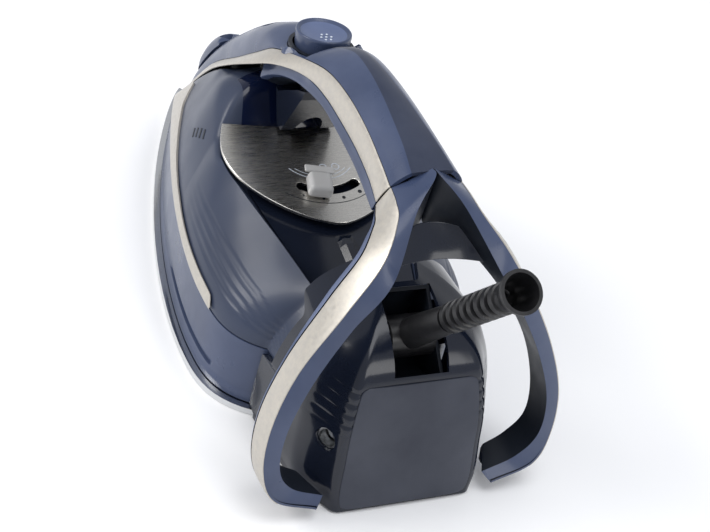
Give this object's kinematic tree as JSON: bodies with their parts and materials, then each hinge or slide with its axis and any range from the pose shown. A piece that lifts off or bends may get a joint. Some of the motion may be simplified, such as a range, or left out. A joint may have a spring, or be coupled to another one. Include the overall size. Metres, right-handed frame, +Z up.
{
  "type": "steam iron",
  "caption": "Steam iron with pointed ironing plate, tinted water tank, closed handle running into a two-legged heel, steam button, selector, filler door and swinging cord sleeve.",
  "frame": {"origin": "centre of the ironing face, on the face", "axes": "+X to the nose, +Y to the left side, +Z up through the handle; the ironing face is the plane z = 0"},
  "size_m": [0.3377, 0.1352, 0.1459],
  "materials": {
    "sole": "polished steel ironing face",
    "cast": "as-cast",
    "steel": "plain",
    "heater": "oxidised",
    "gasket": "soft",
    "ceramic": "dull",
    "tank": "tinted clear plastic",
    "shell_blue": "satin gloss",
    "shell_navy": "gloss",
    "dark": "gloss",
    "trim": "warm silver, satin",
    "plate": "brushed",
    "white": "gloss",
    "grey": "satin",
    "rubber": "matt",
    "brass": "plain",
    "spring": "wire",
    "inner": "dull"
  },
  "bodies": {
    "iron": {"soleplate": "sole", "heating_casting": "cast", "heating_element": "heater", "chamber_gasket": "gasket", "chamber_cover": "steel", "cover_screws": "steel", "thermostat": "ceramic", "thermal_fuse": "ceramic", "skirt": "shell_blue", "waist_ring": "inner", "lower_trim_left": "trim", "lower_trim_right": "trim", "water_tank": "tank", "tank_floor": "inner", "dosing_valve": "brass", "filler_neck": "inner", "hood_cover": "shell_blue", "nose_cap": "shell_blue", "spray_nozzle": "brass", "door_pin": "steel", "side_band_left": "trim", "side_band_right": "trim", "handle_cover": "shell_navy", "handle_liner": "dark", "front_pillar": "dark", "button_collar": "shell_navy", "button_spring": "spring", "pump_cylinder": "inner", "control_plate": "plate", "rear_deck": "dark", "leg_left": "shell_blue", "leg_right": "shell_blue", "leg_band_left": "trim", "leg_band_right": "trim", "crotch_panel": "dark", "rear_housing": "dark", "heel_base": "inner", "rear_panel": "grey", "boot_pocket": "inner", "heel_screws": "steel", "terminal_block": "white", "cord_clamp": "inner"},
    "button": {"steam_button": "shell_blue", "pump_piston": "white"},
    "door": {"filler_door": "shell_blue"},
    "selector": {"selector_knob": "white", "selector_arm": "inner", "selector_shaft": "brass"},
    "sleeve": {"cord_boot": "rubber"}
  },
  "joints": [
    {"name": "steam_button_press", "type": "slide", "parent": "iron", "child": "button", "axis": [-0.1045, 0, -0.9945], "range_m": [0, 0.004], "stiffness_N_per_m": 600, "springref_m": -0.004, "deforming": ["button_spring"]},
    {"name": "filler_door_hinge", "type": "hinge", "parent": "iron", "child": "door", "pos_m": [0.024, 0, 0.10372], "axis": [0, -1, 0], "range_deg": [0, 55]},
    {"name": "selector_turn", "type": "hinge", "parent": "iron", "child": "selector", "pos_m": [-0.03, 0, 0.0776], "axis": [-0.1961, 0, 0.9806], "range_deg": [-10, 36]},
    {"name": "cord_sleeve_swing", "type": "hinge", "parent": "iron", "child": "sleeve", "pos_m": [-0.143, 0, 0.0646], "axis": [0, 1, 0], "range_deg": [-25, 14]}
  ]
}
